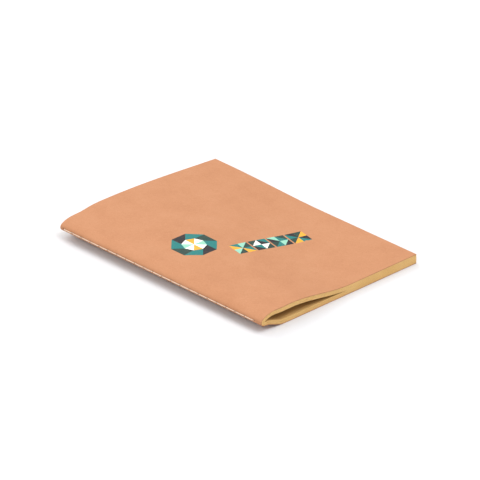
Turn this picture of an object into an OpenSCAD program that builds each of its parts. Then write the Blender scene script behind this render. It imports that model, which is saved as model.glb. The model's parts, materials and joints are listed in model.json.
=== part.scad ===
// Pocket notebook: a pile of folded paper sheets sewn through the fold into a card cover.
// +X runs from the spine to the fore-edge, +Y from the tail to the head, and +Z is up.
// The origin is on the face that the closed book lies on, under the middle of the book.
// Leaves are counted from the front cover. A sheet makes two leaves, one in each half of the
// book, joined by a fold. Every leaf and both covers turn about one axis, the fold axis.

/* [Book] */
// Height of the pages, along the spine
page_h = 140; // [90:1:210]
// Width of the closed card cover, from the spine to the fore-edge
book_w = 105; // [60:1:150]
// Folded sheets in the block, each making two leaves
sheet_count = 20; // [6:1:26]

/* [Paper and card] */
// Room that one leaf takes up in the closed pile
leaf_pitch = 0.108; // [0.1:0.002:0.14]
// Air between one leaf and the next
leaf_gap = 0.016; // [0.01:0.002:0.02]
// Thickness of the cover card
card_t = 0.35; // [0.25:0.01:0.5]

/* [Lie of the closed book] */
// Height of the fold axis over the table
fold_h = 5.4; // [3.5:0.1:6]
// Distance from the fold at which the lower half lies flat
settle_x = 13; // [6:0.5:15]
// Height of the gap between the two halves
gap_h = 4.8; // [0:0.1:6]
// Distance from the fold to the top of the gap
gap_crest_x = 17; // [12:0.5:25]
// Distance from the fold at which the two halves touch again
gap_close_x = 68; // [50:1:95]

/* [Sewing] */
// Needle holes along the fold
hole_count = 22; // [6:1:30]
// Distance from the head of the book to the first needle hole
head_margin = 2.4; // [2:0.1:12]
// Distance from the tail of the book to the last needle hole
tail_margin = 5; // [2:0.1:12]
// Radius of a needle hole
hole_r = 0.28; // [0.26:0.01:0.4]
// Radius of the needle thread, outside the spine
thread_r = 0.25; // [0.2:0.01:0.3]
// Radius of the bobbin thread, inside the fold
bobbin_r = 0.15; // [0.12:0.01:0.16]

/* [Hidden] */
leaf_count = 2 * sheet_count;
leaf_t = leaf_pitch - leaf_gap;
block_t = sheet_count * leaf_pitch;
half_t = block_t + card_t;
page_w = book_w - half_t;

// The folds stay within leg_r of the fold axis. The parts that turn start at root_r.
leg_margin = 0.2;
turning_gap = 0.1;
leg_r = half_t + leg_margin;
root_r = leg_r + turning_gap;
shortest_edge = 0.05;
root_search_steps = 24;

// A quick rise out of the fold, then a long fall to the fore-edge.
rise_power = 2.5;

// Points round the back of a fold, and along a page, where they are closer near the fold
fold_steps = 20;
station_count = 30;
station_power = 1.7;
stations = [for (j = [1 : station_count]) page_w * pow(j / station_count, station_power)];

// Threads
seat = 0.01;
overcut = 1;
thread_x = -half_t - thread_r - seat;
stitch_pitch = (page_h - head_margin - tail_margin) / (hole_count - 1);
stitch_end = 0.35;
strand_gap = 0.08;
strand_r = hole_r - strand_gap;
bobbin_x = 0.62;
$fn = 48;

// Place of the fold axis, which centres the box round the card and the thread on the origin
fold_x = half_t + (2 * thread_r + seat) / 2 - book_w / 2;

card = [0.88, 0.64, 0.48];
paper = [0.95, 0.84, 0.64];
thread = [0.98, 0.86, 0.74];

function leaf_name(i) = str("leaf_", i < 10 ? "0" : "", i);

function reversed(list) = [for (i = [len(list) - 1 : -1 : 0]) list[i]];

// Heights below are measured from the fold axis, at a distance x from it.
// The lower half comes down from the fold and then lies flat.
function settled(t) = t >= 1 ? 1 : t * t * (3 - 2 * t);
function lower_face(x) = (half_t - fold_h) * settled(x / settle_x);

// The gap between the halves opens at the fold and closes again towards the fore-edge.
function rise(t) = t >= 1 ? 1 : 1 - pow(1 - t, rise_power);
function fall(t) = t <= 0 ? 1 : t >= 1 ? 0 : (1 + cos(180 * t)) / 2;
function gap(x) =
    gap_h * rise(x / gap_crest_x) * fall((x - gap_crest_x) / (gap_close_x - gap_crest_x));

// side is 1 for the upper half and -1 for the lower one, and d is the depth of a surface
// in that half, counted outwards from the face towards the gap.
function height(side, d, x) = lower_face(x) + (side > 0 ? gap(x) : 0) + side * d;
function surface_point(side, d, x) = [x, height(side, d, x)];

// Distance x at which a surface is radius r from the fold axis
function reach(side, d, r, lo = 0, hi = leg_r * 2, n = root_search_steps) =
    let (mid = (lo + hi) / 2, z = height(side, d, mid))
    n == 0 ? mid
    : mid * mid + z * z > r * r ? reach(side, d, r, lo, mid, n - 1)
    : reach(side, d, r, mid, hi, n - 1);

// Surface of a part that turns, from the root circle to the fore-edge
function page_line(side, d) =
    let (start = reach(side, d, root_r))
    concat(
        [surface_point(side, d, start)],
        [for (x = stations) if (x > start + shortest_edge) surface_point(side, d, x)]
    );

// Surface of a fold's leg, from the fold to the leg circle
function leg_line(side, d) =
    let (end = reach(side, d, leg_r))
    concat(
        [for (x = stations) if (x < end - shortest_edge) surface_point(side, d, x)],
        [surface_point(side, d, end)]
    );

// Round back of a fold. The tightest fold is cut off square inside.
function bend_line(d) =
    let (steps = d < leaf_gap ? 1 : fold_steps)
    [for (j = [0 : steps]) d * [cos(90 + 180 * j / steps), sin(90 + 180 * j / steps)]];

// Surface of a whole fold: one leg, the round back and the other leg
function fold_line(d) = concat(reversed(leg_line(1, d)), bend_line(d), leg_line(-1, d));

// Puts a cross-section, drawn round the fold axis, in its place along the whole book.
module along_spine() {
    translate([fold_x, 0, fold_h])
        rotate([90, 0, 0])
            linear_extrude(page_h, center = true)
                children();
}

module page_layer(side, near, far) {
    along_spine()
        polygon(concat(page_line(side, near), reversed(page_line(side, far))));
}

module fold_layer(near, far) {
    along_spine()
        polygon(concat(fold_line(near), reversed(fold_line(far))));
}

function hole_y(j) = page_h / 2 - head_margin - j * stitch_pitch;

// A round rod along +X from one distance to another, measured from the fold axis
module rod_x(y, r, from_x, to_x) {
    translate([fold_x + from_x, y, fold_h])
        rotate([0, 90, 0])
            cylinder(r = r, h = to_x - from_x);
}

module needle_holes() {
    for (j = [0 : hole_count - 1])
        rod_x(hole_y(j), hole_r, -half_t - overcut, 0);
}

module front_cover() {
    color(card) page_layer(1, block_t, half_t);
}

module back_cover() {
    color(card) page_layer(-1, block_t, half_t);
}

// The strip of the cover that wraps round the folded sheets
module cover_spine() {
    color(card)
        difference() {
            fold_layer(block_t, half_t);
            needle_holes();
        }
}

module leaf(i) {
    side = i <= sheet_count ? 1 : -1;
    step = side > 0 ? sheet_count - i : i - sheet_count - 1;
    near = step * leaf_pitch + leaf_gap / 2;
    color(paper) page_layer(side, near, near + leaf_t);
}

// The folded middles of all the sheets, one inside another. The needle pushes the paper aside
// without taking any away, so the paper grips the strands that pass through it.
module sheet_folds() {
    color(paper)
        for (k = [0 : sheet_count - 1]) {
            near = k * leaf_pitch + leaf_gap / 2;
            fold_layer(near, near + leaf_t);
        }
}

// One stitch outside the spine, from one needle hole to the next
module stitch(j) {
    translate([fold_x + thread_x, hole_y(j + 1) + stitch_end, fold_h]) {
        rotate([-90, 0, 0])
            cylinder(r = thread_r, h = stitch_pitch - 2 * stitch_end);
        for (y = [0, stitch_pitch - 2 * stitch_end])
            translate([0, y, 0])
                sphere(r = thread_r);
    }
}

// The thread that shows outside: a row of stitches and the strands through the holes
module needle_thread() {
    color(thread)
        union() {
            for (j = [0 : hole_count - 2])
                stitch(j);
            for (j = [0 : hole_count - 1])
                rod_x(hole_y(j), strand_r, thread_x, bobbin_x - bobbin_r - seat);
        }
}

// The thread that lies in the gutter of the middle sheet and locks the strands
module bobbin_thread() {
    run = hole_y(0) - hole_y(hole_count - 1) + 2 * stitch_end;
    z = (height(1, 0, bobbin_x) + height(-1, 0, bobbin_x)) / 2;
    color(thread)
        translate([fold_x + bobbin_x, hole_y(hole_count - 1) - stitch_end, fold_h + z])
            rotate([-90, 0, 0])
                cylinder(r = bobbin_r, h = run);
}

front_cover();
back_cover();
cover_spine();
sheet_folds();
needle_thread();
bobbin_thread();
for (i = [1 : leaf_count])
    leaf(i);
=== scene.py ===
import functools
import json
import math
import random

import bmesh
import bpy
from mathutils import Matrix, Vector


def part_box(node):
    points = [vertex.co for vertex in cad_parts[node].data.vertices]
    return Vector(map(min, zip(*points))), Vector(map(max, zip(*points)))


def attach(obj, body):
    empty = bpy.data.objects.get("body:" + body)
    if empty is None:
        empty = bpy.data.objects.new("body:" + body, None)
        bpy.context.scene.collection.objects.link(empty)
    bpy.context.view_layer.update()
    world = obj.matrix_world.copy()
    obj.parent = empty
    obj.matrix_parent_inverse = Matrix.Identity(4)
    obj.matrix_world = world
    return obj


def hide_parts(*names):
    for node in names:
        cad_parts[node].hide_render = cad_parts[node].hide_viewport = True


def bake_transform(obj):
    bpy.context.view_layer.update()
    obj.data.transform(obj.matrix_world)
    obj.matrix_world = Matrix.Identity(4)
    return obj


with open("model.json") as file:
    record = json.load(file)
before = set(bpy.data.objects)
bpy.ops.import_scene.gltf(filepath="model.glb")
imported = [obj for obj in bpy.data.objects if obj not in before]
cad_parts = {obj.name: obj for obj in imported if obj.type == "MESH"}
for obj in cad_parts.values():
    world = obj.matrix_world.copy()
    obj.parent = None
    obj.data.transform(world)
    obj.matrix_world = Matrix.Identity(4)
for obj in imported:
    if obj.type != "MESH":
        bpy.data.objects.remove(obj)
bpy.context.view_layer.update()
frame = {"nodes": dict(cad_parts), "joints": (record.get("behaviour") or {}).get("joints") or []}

# Pocket notebook. Every sheet, leaf and cover is rebuilt here as a thin closed solid that bends
# out of the fold. x is the distance from the fold axis, y runs from the tail to the head, d is
# the depth of a surface outwards from the middle of the book, and side is 1 in the upper half
# and -1 in the lower one.

MM = 0.001
random.seed(11)

# ---------------------------------------------------------------- sizes, from the frame

LEAVES = sorted(name for name in frame["nodes"] if name.startswith("leaf_"))
SHEETS = len(LEAVES) // 2
AXIS = Vector(frame["joints"][0]["pos_m"])
TAIL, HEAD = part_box("front_cover")[0].y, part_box("front_cover")[1].y
PAGE_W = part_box("front_cover")[1].x - AXIS.x
HALF_T = AXIS.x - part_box("cover_spine")[0].x
LEAF_GAP = 0.016 * MM
BLOCK_T = AXIS.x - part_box("sheet_folds")[0].x + LEAF_GAP / 2
PITCH = BLOCK_T / SHEETS
LEAF_T = PITCH - LEAF_GAP

# Lie of the closed book. The arch and the spine are a little higher at the head.
SETTLE_X = 13 * MM
RISE_POWER = 2.7
GAP_TAIL, GAP_HEAD = 4.4 * MM, 5.8 * MM
CREST_TAIL, CREST_HEAD = 17 * MM, 27 * MM
CLOSE_TAIL, CLOSE_HEAD = 58 * MM, 150 * MM
SPINE_LIFT = 0.3 * MM
LEAN_X = 14 * MM

# The sewing squeezes the layers together at the fold by this share.
PINCH = 0.15

# The legs of a fold end this far outside its own round back.
LEG_MARGIN = 0.6 * MM
REACH_STEPS = 24

# Points along a leaf, which are closer together near the fold, along the spine, along the leg of
# a fold and round its back
LEAF_STATIONS = 34
STATION_POWER = 1.7
Y_STATIONS = 15
LEG_STATIONS = 6
BEND_STATIONS = 16

# Edges sharper than this are shaded as edges.
SHARP_ANGLE = math.radians(40)

# The faces of a cut edge are those whose normal has at least this share towards that edge.
EDGE_FACING = 0.7

# Leaves are trimmed unevenly by up to this much. The edges of the card are eased.
TRIM_PLAY = 0.06 * MM
CARD_EASE = 0.05 * MM

# Needle holes, and the angle of their row round the spine, from +X
HOLES = 22
HEAD_MARGIN, TAIL_MARGIN = 2.4 * MM, 5 * MM
HOLE_PITCH = (HEAD - TAIL - HEAD_MARGIN - TAIL_MARGIN) / (HOLES - 1)
HOLE_YS = [HEAD - HEAD_MARGIN - j * HOLE_PITCH for j in range(HOLES)]
SEAM_ANGLE = math.radians(178)

# A needle hole is longer along the spine. Its wall starts at a lip and narrows to its floor.
HOLE_R = 0.46 * MM
HOLE_STRETCH = 1.5
HOLE_COLLAR_STRETCH = 1.15
HOLE_LIP, HOLE_LIP_DEPTH = 0.98, 0.04 * MM
HOLE_TAPER, HOLE_DEPTH = 0.8, 0.33 * MM

# The square patch of card round a hole, and the cells from one patch to the next
PATCH_HALF = 0.95 * MM
PATCH_CELLS = 4
FREE_CELLS = 4
SIDE_CELLS = 6

# The thread pulls the card in at each hole.
DENT = 0.24 * MM
DENT_R = 0.75 * MM

# Radius of each thread, place of the bobbin thread, and length of one turn of the twist
THREAD_R = 0.25 * MM
BOBBIN_R = 0.14 * MM
BOBBIN_X = 0.62 * MM
TWIST = 1.3 * MM


def clamp(t):
    return min(max(t, 0.0), 1.0)


def ease(t):
    t = clamp(t)
    return t * t * (3 - 2 * t)


def mix(a, b, t):
    return a + (b - a) * t


def share(y):
    """How far y is from the tail, 0, to the head, 1."""
    return (y - TAIL) / (HEAD - TAIL)


# ---------------------------------------------------------------- lie of the paper

def fold_height(y):
    return AXIS.z + SPINE_LIFT * share(y)


def crest(y):
    return mix(CREST_TAIL, CREST_HEAD, ease(share(y)))


def gap_height(y):
    return mix(GAP_TAIL, GAP_HEAD, ease(share(y)))


def gap(x, y):
    """Height of the gap between the two halves."""
    top = crest(y)
    close = mix(CLOSE_TAIL, CLOSE_HEAD, ease(share(y)))
    rise = 1 - (1 - clamp(x / top)) ** RISE_POWER
    fall = (1 + math.cos(math.pi * clamp((x - top) / (close - top)))) / 2
    return gap_height(y) * rise * fall


def middle_height(side, x, y):
    """Height of the middle of the book, on one side of the gap."""
    base = mix(fold_height(y), HALF_T, ease(x / SETTLE_X))
    return base + (gap(x, y) if side > 0 else 0)


def lean(side, x, y):
    """Angle at which the layers stack up: square to the slope of the upper half at the fold,
    and straight up further out."""
    if side < 0:
        return 0.0
    slope = RISE_POWER * gap_height(y) / crest(y)
    return math.atan(slope) * (1 - ease(x / LEAN_X))


def squeeze(x):
    """How much of their thickness the layers keep, at a distance x from the fold."""
    return 1 - PINCH * (1 - ease(x / SETTLE_X))


@functools.lru_cache(maxsize=None)
def reach(side, d, y):
    """Distance x at which a surface leaves its fold: LEG_MARGIN outside its own round back."""
    low, high = 0.0, 2 * HALF_T
    for _ in range(REACH_STEPS):
        x = (low + high) / 2
        point = sheet_point(side, d, x, y)
        if math.hypot(point.x - AXIS.x, point.z - fold_height(y)) > d + LEG_MARGIN:
            high = x
        else:
            low = x
    return low


def sheet_point(side, d, x, y):
    angle = lean(side, x, y)
    return Vector((
        AXIS.x + x - side * d * math.sin(angle),
        y,
        middle_height(side, x, y) + side * d * math.cos(angle) * squeeze(x),
    ))


def fold_point(u, d, y):
    """A point on a fold: u runs 0 to 1 down the upper leg, 1 to 2 round the back, 2 to 3 out
    along the lower leg."""
    if u <= 1:
        return sheet_point(1, d, (1 - u) * reach(1, d, y), y)
    if u >= 2:
        return sheet_point(-1, d, (u - 2) * reach(-1, d, y), y)
    return round_point(mix(math.pi / 2 + lean(1, 0, y), 3 * math.pi / 2, u - 1), d, y)


def round_point(angle, d, y):
    """A point on the round back of a fold, at an angle from +X."""
    rise = d * math.sin(angle) * squeeze(0)
    return Vector((AXIS.x + d * math.cos(angle), y, fold_height(y) + rise))


def steps(count):
    return [i / (count - 1) for i in range(count)]


def y_stations(trim=(0, 0), inset=0):
    """Places along the spine, from the tail to the head, with one more next to each end if the
    edges are eased."""
    ys = [mix(TAIL + trim[0], HEAD - trim[1], t) for t in steps(Y_STATIONS)]
    if inset:
        ys = [ys[0], ys[0] + inset] + ys[1:-1] + [ys[-1] - inset, ys[-1]]
    return ys


# ---------------------------------------------------------------- meshes

class Solid:
    """Vertices and faces of one piece while it is being made."""

    def __init__(self):
        self.points = []
        self.faces = []

    def add(self, points):
        first = len(self.points)
        self.points += points
        return list(range(first, len(self.points)))

    def grid(self, rows, skip=lambda i, j: False):
        """Joins a grid of vertex numbers with quads."""
        for i in range(len(rows) - 1):
            for j in range(len(rows[0]) - 1):
                if not skip(i, j):
                    a, b = rows[i], rows[i + 1]
                    self.faces.append((a[j], b[j], b[j + 1], a[j + 1]))

    def strip(self, a, b, closed=False):
        """Joins two rows of vertex numbers."""
        count = len(a) if closed else len(a) - 1
        for j in range(count):
            k = (j + 1) % len(a)
            self.faces.append((a[j], b[j], b[k], a[k]))

    def slab(self, outer, inner, skip=lambda i, j: False):
        """A closed slab between two grids of points."""
        out = [self.add(row) for row in outer]
        inn = [self.add(row) for row in inner]
        self.grid(out, skip)
        self.grid(inn)
        self.strip(out[0], inn[0])
        self.strip(out[-1], inn[-1])
        self.strip([row[0] for row in out], [row[0] for row in inn])
        self.strip([row[-1] for row in out], [row[-1] for row in inn])
        return out

    def tube(self, rings):
        rows = [self.add(ring) for ring in rings]
        for a, b in zip(rows, rows[1:]):
            self.strip(a, b, closed=True)
        self.faces.append(tuple(rows[0]))
        self.faces.append(tuple(rows[-1]))

    def piece(self, name, *materials):
        mesh = bpy.data.meshes.new(name)
        mesh.from_pydata(self.points, [], self.faces)
        bm = bmesh.new()
        bm.from_mesh(mesh)
        bmesh.ops.recalc_face_normals(bm, faces=bm.faces)
        bm.to_mesh(mesh)
        bm.free()
        return finished(name, mesh, *materials)


def finished(name, mesh, *materials):
    """Shades a mesh, notes where its paper lies at rest for the materials, and links it."""
    mesh.polygons.foreach_set("use_smooth", [True] * len(mesh.polygons))
    mesh.set_sharp_from_angle(angle=SHARP_ANGLE)
    rest = mesh.attributes.new("rest", "FLOAT_VECTOR", "POINT")
    rest.data.foreach_set("vector", [c for v in mesh.vertices for c in v.co])
    for material in materials:
        mesh.materials.append(material)
    obj = bpy.data.objects.new(name, mesh)
    bpy.context.scene.collection.objects.link(obj)
    return obj


# ---------------------------------------------------------------- materials

class Shader:
    """A node material. Places are read from the piece's rest attribute, in metres, so that a
    pattern stays on the paper when the paper bends."""

    def __init__(self, name):
        self.material = bpy.data.materials.new(name)
        self.material.use_nodes = True
        self.tree = self.material.node_tree
        self.bsdf = self.tree.nodes["Principled BSDF"]
        self.rest = self.node("ShaderNodeAttribute", attribute_name="rest").outputs["Vector"]

    def node(self, kind, inputs=None, **settings):
        node = self.tree.nodes.new(kind)
        for key, value in settings.items():
            setattr(node, key, value)
        for key, value in (inputs or {}).items():
            if isinstance(value, bpy.types.NodeSocket):
                self.tree.links.new(value, node.inputs[key])
            else:
                node.inputs[key].default_value = value
        return node

    def stretched(self, scale, turn=0.0):
        """The rest place, turned about Z and then scaled along each axis."""
        turned = self.node(
            "ShaderNodeMapping",
            {"Vector": self.rest, "Rotation": (0, 0, math.radians(turn))},
            vector_type="POINT",
        )
        return self.node(
            "ShaderNodeMapping", {"Vector": turned.outputs[0], "Scale": scale}, vector_type="POINT"
        ).outputs[0]

    def noise(self, vector, size, detail=3.0, roughness=0.55, distortion=0.0):
        """Noise whose patches are about size metres across."""
        return self.node(
            "ShaderNodeTexNoise",
            {"Vector": vector, "Scale": 1 / size, "Detail": detail, "Roughness": roughness,
             "Distortion": distortion},
        ).outputs["Fac"]

    def ramp(self, factor, stops):
        node = self.node("ShaderNodeValToRGB", {"Fac": factor})
        elements = node.color_ramp.elements
        while len(elements) < len(stops):
            elements.new(0.5)
        for element, (position, color) in zip(elements, stops):
            element.position = position
            element.color = (*color, 1)
        return node.outputs["Color"]

    def value(self, factor, low, high, to_low, to_high):
        return self.node(
            "ShaderNodeMapRange",
            {"Value": factor, "From Min": low, "From Max": high, "To Min": to_low,
             "To Max": to_high},
        ).outputs[0]

    def math(self, operation, a, b):
        return self.node("ShaderNodeMath", {0: a, 1: b}, operation=operation).outputs[0]

    def mix(self, factor, a, b, blend="MIX"):
        """Mixes two colours."""
        node = self.node("ShaderNodeMix", data_type="RGBA", blend_type=blend)
        for socket, value in ((0, factor), (6, a), (7, b)):
            if isinstance(value, bpy.types.NodeSocket):
                self.tree.links.new(value, node.inputs[socket])
            else:
                node.inputs[socket].default_value = value if socket == 0 else (*value, 1)
        return node.outputs[2]

    def bump(self, height_socket, distance, strength=1.0):
        return self.node(
            "ShaderNodeBump",
            {"Height": height_socket, "Distance": distance, "Strength": strength},
        ).outputs[0]

    def finish(self, color, roughness, normal=None, specular=0.5, sheen=0.0):
        pairs = [("Base Color", color), ("Roughness", roughness), ("Normal", normal)]
        for key, socket in pairs:
            if isinstance(socket, bpy.types.NodeSocket):
                self.tree.links.new(socket, self.bsdf.inputs[key])
            elif socket is not None:
                self.bsdf.inputs[key].default_value = socket
        self.bsdf.inputs["Specular IOR Level"].default_value = specular
        self.bsdf.inputs["Sheen Weight"].default_value = sheen
        return self.material


def fibres(shader, size, length, turns):
    """Fibres laid at several angles: noise stretched along each, the brightest one winning."""
    field = None
    for turn in turns:
        layer = shader.noise(
            shader.stretched((1 / length, 1, 1), turn), size, detail=2.0, distortion=0.6
        )
        field = layer if field is None else shader.math("MAXIMUM", field, layer)
    return field


def kraft_fibres(shader):
    return fibres(shader, 0.30 * MM, 7, (12, 71, 128))


KRAFT_DARK = (0.402, 0.172, 0.078)
KRAFT = (0.465, 0.212, 0.103)
KRAFT_LIGHT = (0.518, 0.254, 0.133)
# The faces of the pages are darker than their cut edges: painted shade for the dark gap between
# the two halves of the book.
PAPER = (0.575, 0.350, 0.128)
PAPER_PALE = (0.592, 0.370, 0.142)
PAPER_EDGE = (0.760, 0.470, 0.175)
PAPER_EDGE_PALE = (0.800, 0.520, 0.210)
THREAD = (0.800, 0.610, 0.460)


def kraft_material():
    """Uncoated kraft card: clouded colour, crossing fibres, a few dark flecks."""
    s = Shader("kraft_card")
    cloud = s.noise(s.rest, 14 * MM, detail=5.0, roughness=0.6)
    color = s.ramp(cloud, [(0.30, KRAFT_DARK), (0.50, KRAFT), (0.74, KRAFT_LIGHT)])
    color = s.mix(0.62, color, KRAFT)
    hairs = kraft_fibres(s)
    shade = s.ramp(
        hairs, [(0.42, (0.90, 0.88, 0.86)), (0.62, (1, 1, 1)), (0.80, (1.06, 1.08, 1.10))]
    )
    color = s.mix(0.8, color, shade, "MULTIPLY")
    fleck = s.noise(s.rest, 0.55 * MM, detail=2.0)
    mask = s.value(fleck, 0.70, 0.76, 0.0, 0.45)
    color = s.mix(mask, color, KRAFT_DARK)
    grain = s.noise(s.rest, 0.18 * MM, detail=3.0)
    relief = s.math("ADD", s.math("MULTIPLY", hairs, 0.6), s.math("MULTIPLY", grain, 0.4))
    roughness = s.value(hairs, 0.4, 0.8, 0.86, 0.70)
    return s.finish(color, roughness, s.bump(relief, 0.035 * MM), specular=0.3)


def paper_material(name, main, pale):
    """Cream writing paper: faint clouding and fibres."""
    s = Shader(name)
    cloud = s.noise(s.rest, 9 * MM, detail=4.0)
    color = s.ramp(cloud, [(0.35, main), (0.68, pale)])
    hairs = fibres(s, 0.22 * MM, 6, (33, 95))
    shade = s.ramp(hairs, [(0.40, (0.94, 0.93, 0.90)), (0.66, (1, 1, 1))])
    color = s.mix(0.7, color, shade, "MULTIPLY")
    roughness = s.value(hairs, 0.4, 0.8, 0.90, 0.76)
    return s.finish(color, roughness, s.bump(hairs, 0.012 * MM), specular=0.25)


def thread_material():
    """Polyester sewing thread: filaments along the twist, a slight sheen."""
    s = Shader("sewing_thread")
    filament = s.noise(s.stretched((1, 0.35, 1)), 0.05 * MM, detail=2.0)
    color = s.ramp(filament, [(0.35, tuple(0.82 * c for c in THREAD)), (0.65, THREAD)])
    roughness = s.value(filament, 0.3, 0.7, 0.62, 0.45)
    return s.finish(color, roughness, s.bump(filament, 0.01 * MM), sheen=0.3)


def hole_material():
    """Needle holes: dark brown painted shade for the depth of the holes, which go on through the
    folded sheets.
    """
    s = Shader("needle_hole_painted_shade")
    grain = s.noise(s.rest, 0.10 * MM)
    color = s.ramp(grain, [(0.35, (0.10, 0.040, 0.018)), (0.70, (0.21, 0.085, 0.040))])
    return s.finish(color, 0.95, s.bump(grain, 0.02 * MM), specular=0.1)


def ink_material():
    """Printing ink soaked into the card, with the fibres showing through."""
    s = Shader("printing_ink")
    ink = s.node("ShaderNodeAttribute", attribute_name="ink").outputs["Color"]
    hairs = kraft_fibres(s)
    show = s.value(hairs, 0.62, 0.80, 0.0, 0.35)
    color = s.mix(show, ink, KRAFT)
    roughness = s.value(hairs, 0.4, 0.8, 0.62, 0.78)
    return s.finish(color, roughness, s.bump(hairs, 0.02 * MM), specular=0.35)


def floor_material():
    """Pale studio floor, almost even."""
    s = Shader("studio_floor")
    place = s.node("ShaderNodeTexCoord").outputs["Object"]
    cloud = s.noise(place, 0.8, detail=1.0)
    tone = s.ramp(cloud, [(0.3, (0.67, 0.67, 0.68)), (0.7, (0.69, 0.69, 0.70))])
    return s.finish(tone, 0.9, specular=0.1)


# ---------------------------------------------------------------- camera, light and floor

# The camera looks at a point just over the middle of the book, with a long lens.
AZIMUTH, ELEVATION = math.radians(-44.15), math.radians(27.0)
LENS = 500
SENSOR = 36
FRAME_W = 232.9 * MM
AIM_UP, AIM_RIGHT = 5.8 * MM, 1.3 * MM


def make_camera():
    data = bpy.data.cameras.new("camera")
    data.lens = LENS
    data.sensor_width = SENSOR
    data.clip_end = 20
    camera = bpy.data.objects.new("camera", data)
    bpy.context.scene.collection.objects.link(camera)
    back = Vector((
        math.sin(AZIMUTH) * math.cos(ELEVATION),
        -math.cos(AZIMUTH) * math.cos(ELEVATION),
        math.sin(ELEVATION),
    ))
    right = Vector((math.cos(AZIMUTH), math.sin(AZIMUTH), 0))
    target = Vector((0, 0, AIM_UP)) + right * AIM_RIGHT
    camera.location = target + back * (FRAME_W * LENS / SENSOR)
    camera.rotation_mode = "QUATERNION"
    camera.rotation_quaternion = (-back).to_track_quat("-Z", "Y")
    bpy.context.scene.camera = camera


def area_light(name, azimuth, elevation, size, power, color=(1, 1, 1)):
    """A round softbox aimed at the origin. azimuth is measured from the tail side."""
    a, e = math.radians(azimuth), math.radians(elevation)
    toward = Vector((math.sin(a) * math.cos(e), -math.cos(a) * math.cos(e), math.sin(e)))
    data = bpy.data.lights.new(name, "AREA")
    data.shape = "DISK"
    data.size = size
    data.energy = power
    data.color = color
    light = bpy.data.objects.new(name, data)
    light.location = toward * LIGHT_DISTANCE
    light.rotation_mode = "QUATERNION"
    light.rotation_quaternion = toward.to_track_quat("Z", "Y")
    bpy.context.scene.collection.objects.link(light)


# The studio is darker near the horizon: the colour there, and above the height SKY_RISE, which
# is the sine of the elevation.
SKY_HORIZON = (0.20, 0.20, 0.21, 1)
SKY_TOP = (0.98, 0.985, 1.0, 1)
SKY_RISE = 0.7
SKY_STRENGTH = 1.18

LIGHT_DISTANCE = 1.4
KEY_COLOR = (1.0, 0.985, 0.96)
FLOOR_HALF = 2.0
FLOOR_TOP, FLOOR_BOTTOM = -0.02 * MM, -10 * MM


def make_world():
    world = bpy.data.worlds.new("studio")
    world.use_nodes = True
    nodes, links = world.node_tree.nodes, world.node_tree.links
    place = nodes.new("ShaderNodeTexCoord")
    split = nodes.new("ShaderNodeSeparateXYZ")
    sky = nodes.new("ShaderNodeValToRGB")
    sky.color_ramp.elements[0].position = 0.0
    sky.color_ramp.elements[0].color = SKY_HORIZON
    sky.color_ramp.elements[1].position = SKY_RISE
    sky.color_ramp.elements[1].color = SKY_TOP
    background = nodes["Background"]
    background.inputs["Strength"].default_value = SKY_STRENGTH
    links.new(place.outputs["Generated"], split.inputs["Vector"])
    links.new(split.outputs["Z"], sky.inputs["Fac"])
    links.new(sky.outputs["Color"], background.inputs["Color"])
    bpy.context.scene.world = world


def make_studio():
    """A lit floor: a key light behind the head, and fills for the spine and for the tail."""
    make_world()
    bpy.context.scene.view_settings.view_transform = "Standard"
    area_light("key", azimuth=168, elevation=33, size=1.0, power=8.0, color=KEY_COLOR)
    area_light("spine_fill", azimuth=-95, elevation=28, size=0.9, power=6.0)
    area_light("tail_fill", azimuth=10, elevation=64, size=0.9, power=7.5)

    ends = (-FLOOR_HALF, FLOOR_HALF)
    corners = [(x, ends[0]) for x in ends] + [(x, ends[1]) for x in reversed(ends)]
    solid = Solid()
    solid.tube([[Vector((x, y, z)) for x, y in corners] for z in (FLOOR_BOTTOM, FLOOR_TOP)])
    floor = solid.piece("studio_floor", floor_material())


# ---------------------------------------------------------------- paper and card

def paint_edges(piece, fore_edge=True):
    """Gives the cut edges of paper the second material: those at the tail and the head, and the
    fore-edge if there is one."""
    for face in piece.data.polygons:
        at_end = abs(face.normal.y) > EDGE_FACING
        if at_end or (fore_edge and face.normal.x > EDGE_FACING):
            face.material_index = 1


def sheet_piece(name, side, near, far, materials, trim=(0, 0, 0), inset=0.0):
    """A leaf or a cover, from its fold to the fore-edge. trim shortens it at the tail, the head
    and the fore-edge. inset eases its three free edges."""
    ys = y_stations(trim[:2], inset)
    ts = [t ** STATION_POWER for t in steps(LEAF_STATIONS)]
    edge = PAGE_W - trim[2]

    def rows(d, eased_d):
        made = []
        for i, t in enumerate(ts):
            row = []
            for j, y in enumerate(ys):
                at_edge = i == len(ts) - 1 or j in (0, len(ys) - 1)
                depth = eased_d if at_edge and inset else d
                x = mix(reach(side, d, y), edge, t)
                if inset and i == len(ts) - 2:
                    x = edge - inset
                row.append(sheet_point(side, depth, x, y))
            made.append(row)
        return made

    solid = Solid()
    solid.slab(rows(far, far - inset), rows(near, near + inset))
    return solid.piece(name, *materials)


def bend(piece):
    """Bakes the piece's placement into its mesh."""
    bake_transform(piece)


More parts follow.
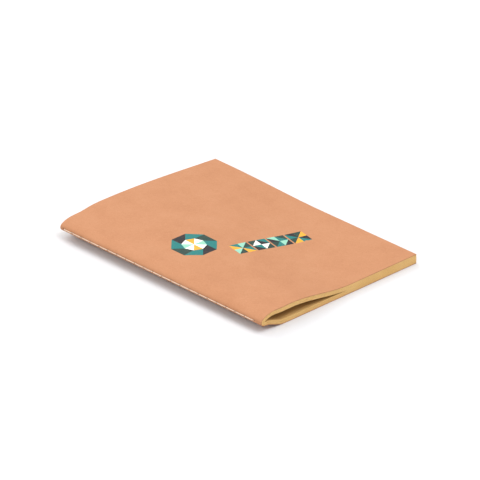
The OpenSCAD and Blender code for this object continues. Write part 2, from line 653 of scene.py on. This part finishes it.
def leaf_piece(index, papers):
    name = LEAVES[index]
    side = 1 if index < SHEETS else -1
    step = SHEETS - 1 - index if side > 0 else index - SHEETS
    near = step * PITCH + LEAF_GAP / 2
    trim = [random.uniform(0, TRIM_PLAY) for _ in range(3)]
    piece = sheet_piece(name + "_paper", side, near, near + LEAF_T, papers, trim)
    paint_edges(piece)
    bend(piece)
    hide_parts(name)


def folds_piece(papers):
    """The folded middles of the sheets, one inside another."""
    us = [i / LEG_STATIONS for i in range(LEG_STATIONS)]
    us += [1 + i / BEND_STATIONS for i in range(BEND_STATIONS)]
    us += [2 + i / LEG_STATIONS for i in range(LEG_STATIONS + 1)]
    solid = Solid()
    for k in range(SHEETS):
        near = k * PITCH + LEAF_GAP / 2
        ys = y_stations([random.uniform(0, TRIM_PLAY) for _ in range(2)])
        outer = [[fold_point(u, near + LEAF_T, y) for y in ys] for u in us]
        inner = [[fold_point(u, near, y) for y in ys] for u in us]
        solid.slab(outer, inner)
    piece = solid.piece("sheet_folds_paper", *papers)
    paint_edges(piece, fore_edge=False)
    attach(piece, "spine")
    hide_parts("sheet_folds")


def spine_surface(a, y, sink=0.0):
    """A point on the outside of the spine: a is the distance round the bend from the row of
    needle holes. The thread pulls the card in at each hole."""
    r = min(math.hypot(a, y - hole) for hole in HOLE_YS)
    dent = DENT * math.exp(-(r / DENT_R) ** 2)
    return round_point(SEAM_ANGLE + a / HALF_T, HALF_T - dent - sink, y)


def spine_ys():
    """Places along the spine that meet the edges of the square patch round every hole."""
    cell = 2 * PATCH_HALF / PATCH_CELLS
    ys = [TAIL, (TAIL + HOLE_YS[-1] - PATCH_HALF) / 2]
    for hole in reversed(HOLE_YS):
        ys += [hole - PATCH_HALF + cell * i for i in range(PATCH_CELLS + 1)]
        if hole != HOLE_YS[0]:
            free = HOLE_PITCH - 2 * PATCH_HALF
            ys += [hole + PATCH_HALF + free * i / FREE_CELLS for i in range(1, FREE_CELLS)]
    return ys + [(HEAD + HOLE_YS[0] + PATCH_HALF) / 2, HEAD]


def spine_piece(card, hole_shade):
    """The strip of the cover that wraps the folds, with a needle hole in every patch."""
    edges = [-PATCH_HALF, PATCH_HALF]
    patch = [mix(*edges, i / PATCH_CELLS) for i in range(PATCH_CELLS)]
    before = [("leg", i / LEG_STATIONS) for i in range(LEG_STATIONS)]
    before += [("rise", i / SIDE_CELLS) for i in range(SIDE_CELLS)]
    first = len(before)
    after = [("fall", i / SIDE_CELLS) for i in range(SIDE_CELLS)]
    after += [("leg", 2 + i / LEG_STATIONS) for i in range(LEG_STATIONS + 1)]
    stations = before + [("patch", a) for a in patch] + after
    ys = spine_ys()
    centres = {min(range(len(ys)), key=lambda j: abs(ys[j] - hole)) for hole in HOLE_YS}
    half = PATCH_CELLS // 2
    in_patch = {j for c in centres for j in range(c - half, c + half)}

    def around(kind, t, y):
        """Distance round the bend from the row of holes."""
        if kind == "patch":
            return t
        if kind == "rise":
            return mix((math.pi / 2 + lean(1, 0, y) - SEAM_ANGLE) * HALF_T, edges[0], t)
        return mix(edges[1], (3 * math.pi / 2 - SEAM_ANGLE) * HALF_T, t)

    def outside(kind, t, y):
        if kind == "leg":
            return fold_point(t, HALF_T, y)
        return spine_surface(around(kind, t, y), y)

    def inside(kind, t, y):
        if kind == "leg":
            return fold_point(t, BLOCK_T, y)
        return round_point(SEAM_ANGLE + around(kind, t, y) / HALF_T, BLOCK_T, y)

    solid = Solid()
    outer = [[outside(kind, t, y) for y in ys] for kind, t in stations]
    inner = [[inside(kind, t, y) for y in ys] for kind, t in stations]
    rows = solid.slab(
        outer, inner, lambda i, j: first <= i < first + PATCH_CELLS and j in in_patch
    )
    walls = []
    for c in sorted(centres):
        walls += hole_faces(solid, rows, first, c - half, ys[c])
    piece = solid.piece("cover_spine_card", card, hole_shade)
    # The walls and floors of the needle holes take the painted shade.
    centre_points = {tuple(round(x, 9) for x in p) for p in walls}
    for face in piece.data.polygons:
        corners = (piece.data.vertices[v].co for v in face.vertices)
        if all(tuple(round(x, 9) for x in p) in centre_points for p in corners):
            face.material_index = 1
    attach(piece, "spine")
    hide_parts("cover_spine")


def hole_faces(solid, rows, i0, j0, y):
    """Fills one square patch with a round hole and returns the corners of the hole's wall."""
    n = PATCH_CELLS
    square = [(i0, j0 + k) for k in range(n)] + [(i0 + k, j0 + n) for k in range(n)]
    square += [(i0 + n, j0 + n - k) for k in range(n)] + [(i0 + n - k, j0) for k in range(n)]
    border = [rows[i][j] for i, j in square]
    angles = []
    for i, j in square:
        angles.append(math.atan2(i - i0 - n / 2, j - j0 - n / 2))

    def ring(radius, sink, stretch=HOLE_STRETCH):
        return [
            spine_surface(radius * math.sin(t), y + stretch * radius * math.cos(t), sink)
            for t in angles
        ]

    middle = solid.add(ring((HOLE_R + PATCH_HALF) / 2, 0, HOLE_COLLAR_STRETCH))
    mouth = solid.add(ring(HOLE_R, 0))
    wall_points = ring(HOLE_R * HOLE_LIP, HOLE_LIP_DEPTH) + ring(HOLE_R * HOLE_TAPER, HOLE_DEPTH)
    wall = solid.add(wall_points)
    top, bottom = wall[:len(angles)], wall[len(angles):]
    for a, b in ((border, middle), (middle, mouth), (mouth, top), (top, bottom)):
        solid.strip(a, b, closed=True)
    solid.faces.append(tuple(bottom))
    return [Vector(p) for p in wall_points]


def cover_piece(name, side, material):
    piece = sheet_piece(name + "_card", side, BLOCK_T, HALF_T, [material], inset=CARD_EASE)
    bend(piece)
    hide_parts(name)


# ---------------------------------------------------------------- thread

PLIES = 3
PLY_SIDES = 8

# Radius of a ply as a share of the thread's: three equal circles that touch inside a circle
PLY_SHARE = 1 / (1 + 2 / math.sqrt(3))


def twisted(solid, path, radii):
    """Lays plies twisted round a path that runs across Z."""
    run = 0.0
    rings = [[] for _ in range(PLIES)]
    for k, point in enumerate(path):
        ahead, behind = path[min(k + 1, len(path) - 1)], path[max(k - 1, 0)]
        tangent = (ahead - behind).normalized()
        if k:
            run += (point - path[k - 1]).length
        up = Vector((0, 0, 1))
        across = tangent.cross(up).normalized()
        for p in range(PLIES):
            turn = 2 * math.pi * (run / TWIST + p / PLIES)
            orbit = radii[k] * (1 - PLY_SHARE)
            centre = point + (across * math.cos(turn) + up * math.sin(turn)) * orbit
            ply = radii[k] * PLY_SHARE
            rings[p].append([
                centre + (across * math.cos(t) + up * math.sin(t)) * ply
                for t in (2 * math.pi * q / PLY_SIDES for q in range(PLY_SIDES))
            ])
    for ply_rings in rings:
        solid.tube(ply_rings)


# A stitch comes up through its hole beside the middle, turns and runs along the card. All heights
# are measured from the outside of the card.
STRAND_SIDE = 0.24 * MM
STRAND_DEPTH = 0.9 * MM
STITCH_START = -0.35 * MM
STITCH_RISE = 0.22 * MM
STITCH_TURN = 1.15 * MM
STITCH_DROP = 0.15 * MM
STITCH_POINTS = 30
TURN_STEPS = 6

# The thread is thinner inside the hole, and swells between these two heights.
STRAND_SHARE = 0.55
SWELL_LOW, SWELL_HIGH = -0.2 * MM, 0.2 * MM


def stitch_path(y0, y1):
    """One stitch, out of the hole at y0, along the spine and down the hole at y1."""
    places = [(-STRAND_DEPTH, STRAND_SIDE), (-STRAND_DEPTH / 2, STRAND_SIDE)]
    for i in range(TURN_STEPS + 1):
        t = math.pi / 2 * i / TURN_STEPS
        out = mix(STITCH_START, STITCH_RISE, math.sin(t))
        places.append((out, mix(STRAND_SIDE, STITCH_TURN, 1 - math.cos(t))))
    length = abs(y1 - y0)
    free = [(STITCH_RISE, mix(STITCH_TURN, length - STITCH_TURN, i / STITCH_POINTS))
            for i in range(1, STITCH_POINTS)]
    whole = places + free + [(o, length - s) for o, s in reversed(places)]
    sign = 1 if y1 > y0 else -1
    path, radii = [], []
    for out, along in whole:
        y = y0 + sign * along
        path.append(round_point(SEAM_ANGLE + STITCH_DROP / HALF_T, HALF_T + out, y))
        swell = ease((out - SWELL_LOW) / (SWELL_HIGH - SWELL_LOW))
        radii.append(THREAD_R * mix(STRAND_SHARE, 1.0, swell))
    return path, radii


def needle_thread_piece(material):
    solid = Solid()
    for y0, y1 in zip(HOLE_YS, HOLE_YS[1:]):
        twisted(solid, *stitch_path(y0, y1))
    piece = solid.piece("needle_thread_stitches", material)
    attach(piece, "spine")
    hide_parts("needle_thread")


def bobbin_thread_piece(material):
    """The thread in the gutter, pulled a little into the fold at every hole."""
    spare = 0.4 * MM
    pull = 0.05 * MM
    count = 400
    path = []
    for t in steps(count):
        y = mix(HOLE_YS[-1] - spare, HOLE_YS[0] + spare, t)
        phase = 2 * math.pi * (y - HOLE_YS[-1]) / HOLE_PITCH
        x = BOBBIN_X - pull * math.cos(phase)
        z = (middle_height(1, x, y) + middle_height(-1, x, y)) / 2
        path.append(Vector((AXIS.x + x, y, z)))
    solid = Solid()
    twisted(solid, path, [BOBBIN_R] * count)
    piece = solid.piece("bobbin_thread_line", material)
    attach(piece, "spine")
    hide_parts("bobbin_thread")


# ---------------------------------------------------------------- print

INK_LIFT = 0.002 * MM
INK_T = 0.03 * MM
INK_CELL = 1.5 * MM
INKS = {
    "forest": (0.010, 0.045, 0.035),
    "teal": (0.004, 0.165, 0.155),
    "mint": (0.260, 0.560, 0.420),
    "amber": (0.800, 0.360, 0.030),
    "night": (0.010, 0.012, 0.016),
    "chalk": (0.860, 0.840, 0.780),
}


class Print:
    """Flat shapes of ink on the front cover, each a thin closed solid that follows the card."""

    def __init__(self):
        self.bm = bmesh.new()
        self.color = self.bm.verts.layers.float_color.new("ink")
        self.centre, self.turn = (0, 0), 0.0

    def frame(self, centre, turn):
        """Sets where the next shapes go. The centre is (x from the fold, y from the tail)."""
        self.centre, self.turn = centre, turn

    def shape(self, corners, ink):
        """corners are (x, y) places round the centre of the pattern."""
        corners = [placed(self.centre, self.turn, x, y) for x, y in corners]
        bm = bmesh.new()
        bm.faces.new([bm.verts.new((x, y, 0)) for x, y in corners])
        for axis in (0, 1):
            low = min(c[axis] for c in corners)
            high = max(c[axis] for c in corners)
            count = int((high - low) / INK_CELL) + 1
            for k in range(1, count):
                place = [0, 0, 0]
                normal = [0, 0, 0]
                place[axis] = mix(low, high, k / count)
                normal[axis] = 1
                geom = bm.verts[:] + bm.edges[:] + bm.faces[:]
                bmesh.ops.bisect_plane(bm, geom=geom, plane_co=place, plane_no=normal)
        made = {}
        for side, rise in ((0, INK_LIFT), (1, INK_T)):
            for v in bm.verts:
                point = sheet_point(1, HALF_T + rise, v.co.x, TAIL + v.co.y)
                new = self.bm.verts.new(point)
                new[self.color] = (*INKS[ink], 1)
                made[side, v] = new
        for face in bm.faces:
            for side in (0, 1):
                self.bm.faces.new([made[side, v] for v in face.verts])
        for edge in bm.edges:
            if edge.is_boundary:
                a, b = edge.verts
                self.bm.faces.new([made[0, a], made[0, b], made[1, b], made[1, a]])
        bm.free()

    def piece(self, name, material):
        bmesh.ops.recalc_face_normals(self.bm, faces=self.bm.faces)
        mesh = bpy.data.meshes.new(name)
        self.bm.to_mesh(mesh)
        self.bm.free()
        return finished(name, mesh, material)


def split_square(ink, x, y, size, inks, rising):
    """A square cut along a diagonal into two triangles."""
    a, b, c, d = (x, y), (x + size, y), (x + size, y + size), (x, y + size)
    if rising:
        ink.shape([a, b, c], inks[0])
        ink.shape([a, c, d], inks[1])
    else:
        ink.shape([a, b, d], inks[0])
        ink.shape([b, c, d], inks[1])


def quilt_tile(ink, x, y, size, inks, kind):
    """A square of four split squares: a pinwheel, a diamond or a set of chevrons."""
    half = size / 2
    for i in (0, 1):
        for j in (0, 1):
            rising = {"pinwheel": i == j, "diamond": i != j, "chevron": j == 0}[kind]
            pair = inks[:2] if (i + j) % 2 == 0 else inks[2:]
            if kind == "diamond" and (i, j) == (0, 1):
                pair = pair[::-1]
            split_square(ink, x + i * half, y + j * half, half, pair, rising)


FRIEZE_CENTRE = (57.4 * MM, 54.7 * MM)
FRIEZE_TURN = math.radians(-10)
FRIEZE_TILE, FRIEZE_GAP = 9.9 * MM, 0.9 * MM
FRIEZE = [
    ("pinwheel", ("forest", "mint", "amber", "teal")),
    ("diamond", ("night", "teal", "forest", "chalk")),
    ("chevron", ("teal", "forest", "night", "mint")),
    ("pinwheel", ("amber", "forest", "teal", "night")),
]
ROSETTE_CENTRE = (25.5 * MM, 75 * MM)
ROSETTE_SIDES = 8
ROSETTE_INNER, ROSETTE_OUTER = 6.2 * MM, 11.9 * MM
ROSETTE_CORE_INKS = ("chalk", "amber", "chalk", "mint")
ROSETTE_RIM_INKS = ("forest", "teal", "night", "teal")


def placed(centre, turn, x, y):
    """Where a point of a pattern drawn round its own centre lands on the cover."""
    return (
        centre[0] + x * math.cos(turn) - y * math.sin(turn),
        centre[1] + x * math.sin(turn) + y * math.cos(turn),
    )


def frieze(ink):
    """A row of quilt tiles."""
    ink.frame(FRIEZE_CENTRE, FRIEZE_TURN)
    pitch = FRIEZE_TILE + FRIEZE_GAP
    for k, (kind, inks) in enumerate(FRIEZE):
        x = (k - (len(FRIEZE) - 1) / 2) * pitch - FRIEZE_TILE / 2
        quilt_tile(ink, x, -FRIEZE_TILE / 2, FRIEZE_TILE, inks, kind)


def rosette(ink):
    """An eight-sided patchwork: a core of triangles and a rim of two triangles to each side."""
    ink.frame(ROSETTE_CENTRE, 0.0)
    part = 2 * math.pi / ROSETTE_SIDES

    def corner(radius, k):
        return (radius * math.cos(k * part), radius * math.sin(k * part))

    for k in range(ROSETTE_SIDES):
        rim, next_rim = corner(ROSETTE_OUTER, k + 0.5), corner(ROSETTE_OUTER, k + 1.5)
        core, next_core = corner(ROSETTE_INNER, k), corner(ROSETTE_INNER, k + 1)
        rim_ink = ROSETTE_RIM_INKS[k % len(ROSETTE_RIM_INKS)]
        next_ink = ROSETTE_RIM_INKS[(k + 1) % len(ROSETTE_RIM_INKS)]
        ink.shape([(0, 0), core, next_core], ROSETTE_CORE_INKS[k % len(ROSETTE_CORE_INKS)])
        ink.shape([core, rim, next_core], rim_ink)
        ink.shape([next_core, rim, next_rim], next_ink)


def print_piece(material):
    """A made-up patchwork frieze with a rosette beside it."""
    ink = Print()
    frieze(ink)
    rosette(ink)
    piece = ink.piece("cover_print", material)
    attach(piece, "front_cover")


# ---------------------------------------------------------------- the book

make_camera()
make_studio()

kraft = kraft_material()
# The pages take the darker paper on their faces, painted shade for the gap between the halves, and
# the paler one on their cut edges.
papers = [
    paper_material("cream_paper", PAPER, PAPER_PALE),
    paper_material("cut_edges", PAPER_EDGE, PAPER_EDGE_PALE),
]
thread = thread_material()

cover_piece("front_cover", 1, kraft)
cover_piece("back_cover", -1, kraft)
spine_piece(kraft, hole_material())
folds_piece(papers)
for leaf_index in range(len(LEAVES)):
    leaf_piece(leaf_index, papers)
needle_thread_piece(thread)
bobbin_thread_piece(thread)
print_piece(ink_material())
